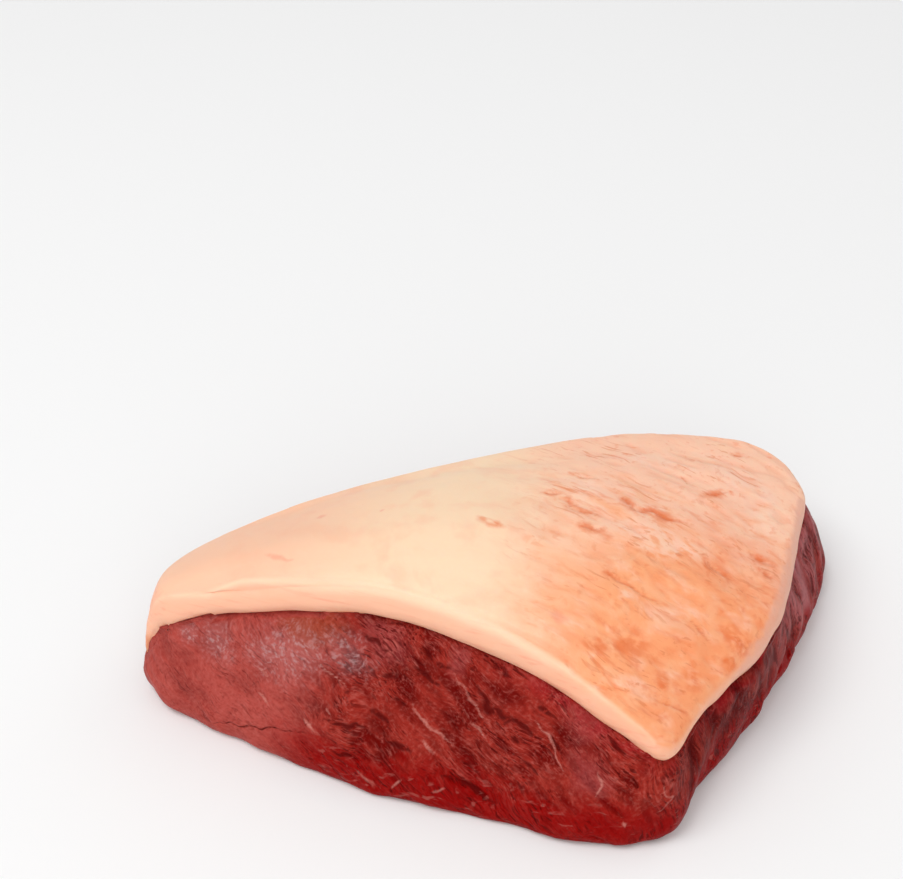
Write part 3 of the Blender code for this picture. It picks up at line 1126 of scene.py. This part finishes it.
def lean_paint():
    paint = new_paint("raw lean beef")
    tree = paint.node_tree
    at = lean_noises(tree)
    colour = lean_base(tree, at)
    colour = lean_fibres(tree, at, colour)
    colour = lean_film_and_veins(tree, at, colour)
    relief = times(tree, maths(tree, "ADD", at.fine, at.strands), at.rough)
    relief = maths(tree, "ADD", relief, at.veins)
    relief = maths(tree, "SUBTRACT", relief, at.dark)
    surface(tree, colour, relief, LEAN_BUMP, at.spots, LEAN_ROUGHNESS, LEAN_SOCKETS)
    return paint


lean.data.materials.append(lean_paint())

# %% [markdown]
# ## Paint of the fat
# Fat of beef that grew on grass is cream, and it turns peach and orange where blood and
# skin have stained it, mostly on the wide half. Light enters fat and comes out a little
# further on, so it needs subsurface scattering, or it would look like chalk.

# %% Fat: colours
CREAM = shade(251, 216, 182)
# a painted highlight along the fat's rim
RIM_HIGHLIGHT_CREAM = shade(252, 222, 190)
IVORY = shade(250, 197, 165)
PEACH = shade(255, 197, 168)
BLUSH = shade(254, 206, 182)
ORANGE = shade(251, 168, 118)
DEEP_ORANGE = shade(231, 115, 57)
PINK = shade(240, 150, 124)
ROSY = shade(248, 184, 152)
PALE_ROSE = shade(230, 171, 149)
BROWN = shade(220, 120, 68)
RED_BROWN = shade(196, 84, 40)
SINEW = shade(224, 130, 80)

# %% [markdown]
# These noises are shared again. Blotches and lines are stretched along the fat's grain.

# %% Fat: noises
FAT_WAVER = (10.0, 3.0)  # size and reach in mm
FAT_PATCH = 22.0
FAT_SPOT = 5.0
# length and width in mm
BLOTCH = (14.0, 7.0)
SMALL_BLOTCH = (9.0, 3.0)
LINE = (26.0, 1.9)


def fat_noises(tree):
    at = SimpleNamespace(point=millimetres(tree))
    at.x, at.y, at.z = (along(tree, at.point, axis) for axis in (X_AXIS, Y_AXIS, Z_AXIS))
    at.swept = shaken(tree, at.point, *SWEEP)
    at.bent = shaken(tree, at.swept, *FAT_WAVER)
    names = ("seam", "top", "wrinkle", "slit")
    at.seam, at.top, at.wrinkle, at.slit = (mask(tree, name) for name in names)
    at.patches = cloud(tree, at.bent, FAT_PATCH, detail=4.0)
    at.blotches = stretched(tree, at.bent, FAT_GRAIN, *BLOTCH, detail=3.0)
    at.small_blotches = stretched(tree, at.swept, FAT_GRAIN, *SMALL_BLOTCH)
    at.lines = stretched(tree, at.swept, FAT_GRAIN, *LINE)
    at.spots = cloud(tree, at.point, FAT_SPOT, detail=3.0)
    return at


# %% [markdown]
# The narrow half is cream and turns ivory towards the tip. The wide half is peach, and
# more and more orange towards the near corner. The border between them is slanted, and
# the patches' noise makes it uneven.

# %% Fat: broad colours
SLANT = 0.3
WIDE_PATCHES = 30.0
WIDE_HALF = (6.0, 53.0)  # along the slanted x, with the patches' noise added
CORNER = (78.0, -46.0, 0.0)
CORNER_REACH = (75.0, 30.0)  # mm
NEAR_SIDE = (55.0, 5.0)  # along y
IVORY_FROM = (-20.0, -80.0)  # along x
RUDDY_FROM = (45.0, 85.0)


def fat_base(tree, at):
    slanted = scaled(tree, at.y, SLANT, at.x)
    at.wide = fade(tree, scaled(tree, at.patches, WIDE_PATCHES, slanted), *WIDE_HALF)
    flat = vectors(tree, "MULTIPLY", at.bent, (1, 1, 0))
    corner = fade(tree, vectors(tree, "DISTANCE", flat, CORNER), *CORNER_REACH)
    near_side = fade(tree, at.y, *NEAR_SIDE)
    colour = coat(tree, CREAM, IVORY, fade(tree, at.x, *IVORY_FROM))
    colour = coat(tree, colour, PEACH, at.wide, 0.9)
    colour = coat(tree, colour, ORANGE, corner, fade(tree, at.blotches, 0.20, 0.50))
    large = fade(tree, at.blotches, 0.45, 0.75)
    colour = coat(tree, colour, ORANGE, at.wide, large, scaled(tree, near_side, 0.6, 0.1))
    small = fade(tree, at.small_blotches, 0.5, 0.8)
    colour = coat(tree, colour, DEEP_ORANGE, at.wide, small, scaled(tree, near_side, 0.4, 0.1))
    ruddy = fade(tree, at.x, *RUDDY_FROM)
    patchy = fade(tree, at.patches, 0.3, 0.6)
    return coat(tree, colour, DEEP_ORANGE, ruddy, near_side, patchy, 0.3)


# %% [markdown]
# On top of that lie pale parts, thin brown lines, specks and a rosy flush on the cream,
# and then the drawn marks. A noise breaks these up too, so that none has the even width
# of a pen stroke.

# %% Fat: stains and cracks
# sizes in mm
SPECK = 3.2
FLUSH = 13.0
ISLAND = 7.0


def fat_stains(tree, at, colour):
    pale = marked(tree, "pale", at.patches, -0.1, 0.8)
    pale = times(tree, pale, fade(tree, at.small_blotches, 0.65, 0.40))
    colour = coat(tree, colour, BLUSH, pale, at.top, 0.7)
    thin = times(tree, fade(tree, at.lines, 0.60, 0.67), fade(tree, at.patches, 0.40, 0.58))
    colour = coat(tree, colour, BROWN, thin, at.wide, at.top, 0.5)
    specks = fade(tree, cloud(tree, at.bent, SPECK, detail=3.0), 0.58, 0.72)
    colour = coat(tree, colour, DEEP_ORANGE, specks, at.wide, at.top, 0.3)
    flush = fade(tree, cloud(tree, at.bent, FLUSH, detail=3.0), 0.48, 0.70)
    colour = coat(tree, colour, ROSY, flush, fade(tree, at.wide, 1.0, 0.0), 0.35)
    colour = coat(tree, colour, DEEP_ORANGE, at.wrinkle, 0.18)
    islands = fade(tree, cloud(tree, at.swept, ISLAND, detail=4.0), 0.44, 0.66)
    colour = coat(tree, colour, CREAM, islands, at.wide, at.top, 0.17)

    orange = marked(tree, "orange", at.spots, -0.8, 0.8)
    orange = times(tree, orange, fade(tree, at.spots, 0.3, 0.58), at.top)
    orange = times(tree, orange, fade(tree, at.small_blotches, 0.28, 0.52))
    colour = coat(tree, colour, DEEP_ORANGE, orange, 0.7)
    crack = marked(tree, "crack", at.spots, -0.2, 0.7)
    crack = times(tree, crack, fade(tree, at.spots, 0.34, 0.58))
    colour = coat(tree, colour, DEEP_ORANGE, crack, at.top, 0.45)
    colour = coat(tree, colour, RED_BROWN, at.slit, 0.18)
    return coat(tree, colour, PINK, marked(tree, "pink", at.spots, 0.0, 0.8), at.top, 0.5)


# %% [markdown]
# The trimmed edge shows the inside of the fat: rosy, with faint layers along it, and a pale
# rose on the right. A light cream along the rounded rim on the front is a painted
# highlight. Where the fat meets the lean it takes a little of the meat's colour, and the
# nub at the tip is orange sinew.

# %% Fat: trimmed edge
LAYER = (22.0, 1.6)  # length and width in mm
MEATY_SEAM = (1.8, 0.2)  # mm from the lean
NUB_FROM = (-108.0, -114.0)  # along x
NUB_BELOW = (29.0, 22.0)  # heights in mm


def fat_edge(tree, at, colour):
    band = maths(tree, "SUBTRACT", 1.0, at.top)
    colour = coat(tree, colour, ROSY, band, 0.85)
    colour = coat(tree, colour, PALE_ROSE, marked(tree, "edge", at.spots, -0.1, 0.5), 0.7)
    layers = stretched(tree, at.point, X_AXIS, *LAYER, detail=3.0)
    colour = coat(tree, colour, PINK, band, fade(tree, layers, 0.55, 0.72), 0.4)
    # a painted highlight along the rounded rim on the front
    colour = coat(tree, colour, RIM_HIGHLIGHT_CREAM, mask(tree, "rim"), 0.6)
    colour = coat(tree, colour, DEEP_ORANGE, fade(tree, at.seam, *MEATY_SEAM), 0.55)
    nub = times(tree, fade(tree, at.x, *NUB_FROM), fade(tree, at.z, *NUB_BELOW))
    return coat(tree, colour, SINEW, nub, 0.7)


# %% [markdown]
# The skin of the fat is waxy: a fine pimpled bump, a soft gloss, and much of the light
# goes in and comes out again, red the furthest.

# %% Fat: surface
PIMPLE = 0.9  # mm
FAT_BUMP = (0.4, 0.5)
FAT_ROUGHNESS = (0.2, 0.38)
FAT_SOCKETS = {
    "Specular IOR Level": 0.35,
    "Subsurface Weight": 0.2,
    "Subsurface Radius": (1.0, 0.5, 0.3),
    "Subsurface Scale": 4 * MM,
}


def fat_paint():
    paint = new_paint("raw beef fat")
    tree = paint.node_tree
    at = fat_noises(tree)
    colour = fat_base(tree, at)
    colour = fat_stains(tree, at, colour)
    colour = fat_edge(tree, at, colour)
    relief = times(tree, cloud(tree, at.point, PIMPLE, detail=3.0), 0.3)
    relief = maths(tree, "ADD", relief, times(tree, at.spots, 0.8))
    surface(tree, colour, relief, FAT_BUMP, at.spots, FAT_ROUGHNESS, FAT_SOCKETS)
    return paint


fat.data.materials.append(fat_paint())
